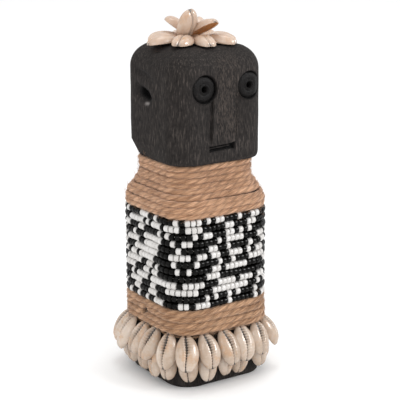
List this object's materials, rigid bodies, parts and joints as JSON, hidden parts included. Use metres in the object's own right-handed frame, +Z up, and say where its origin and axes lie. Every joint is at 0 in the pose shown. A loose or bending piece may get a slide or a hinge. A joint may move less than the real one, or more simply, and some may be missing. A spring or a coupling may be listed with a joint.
{
  "type": "fertility doll",
  "caption": "Carved block figure with a round-edged head, bound with twine and seed beads, wearing a flared skirt and a flower-like crown of cut cowrie shells.",
  "frame": {"origin": "centre of the foot's flat underside", "axes": "+Z up along the figure, the face looks along -Y, +X is the doll's left"},
  "size_m": [0.0842, 0.0842, 0.2142],
  "materials": {
    "stained_wood": "black-stained, dry, fine upright grain with paler scratches and worn spots",
    "shoulder_twine": "two-ply jute twine, hairy and matte",
    "hip_twine": "two-ply jute twine, hairy and matte",
    "bead_thread": "plain cotton thread",
    "black_beads": "opaque glossy black seed beads",
    "white_beads": "opaque glossy white seed beads",
    "skirt_shell": "polished natural cowrie, cream to pink with orange patches",
    "crown_shell": "polished natural cowrie, cream to pink with orange patches",
    "glue": "dried brown glue"
  },
  "bodies": {
    "root": {"carved_figure": "stained_wood", "shoulder_twine": "shoulder_twine", "hip_twine": "hip_twine", "bead_threads": "bead_thread", "bead_row_01_black": "black_beads", "bead_row_01_white": "white_beads", "bead_row_02_black": "black_beads", "bead_row_02_white": "white_beads", "bead_row_03_black": "black_beads", "bead_row_03_white": "white_beads", "bead_row_04_black": "black_beads", "bead_row_04_white": "white_beads", "bead_row_05_black": "black_beads", "bead_row_05_white": "white_beads", "bead_row_06_black": "black_beads", "bead_row_06_white": "white_beads", "bead_row_07_black": "black_beads", "bead_row_07_white": "white_beads", "bead_row_08_black": "black_beads", "bead_row_08_white": "white_beads", "bead_row_09_black": "black_beads", "bead_row_09_white": "white_beads", "bead_row_10_black": "black_beads", "bead_row_10_white": "white_beads", "bead_row_11_black": "black_beads", "bead_row_11_white": "white_beads", "bead_row_12_black": "black_beads", "bead_row_12_white": "white_beads", "bead_row_13_black": "black_beads", "bead_row_13_white": "white_beads", "upper_skirt_shells_left": "skirt_shell", "upper_skirt_shells_back": "skirt_shell", "upper_skirt_shells_right": "skirt_shell", "upper_skirt_shells_front": "skirt_shell", "lower_skirt_shells_left": "skirt_shell", "lower_skirt_shells_back": "skirt_shell", "lower_skirt_shells_right": "skirt_shell", "lower_skirt_shells_front": "skirt_shell", "upper_skirt_glue": "glue", "lower_skirt_glue": "glue", "crown_petal_1": "crown_shell", "crown_petal_2": "crown_shell", "crown_petal_3": "crown_shell", "crown_petal_4": "crown_shell", "crown_petal_5": "crown_shell", "crown_petal_6": "crown_shell", "crown_petal_7": "crown_shell", "crown_petal_8": "crown_shell", "crown_upright_1": "crown_shell", "crown_upright_2": "crown_shell", "crown_upright_3": "crown_shell", "crown_upright_4": "crown_shell", "crown_glue": "glue"}
  },
  "joints": []
}
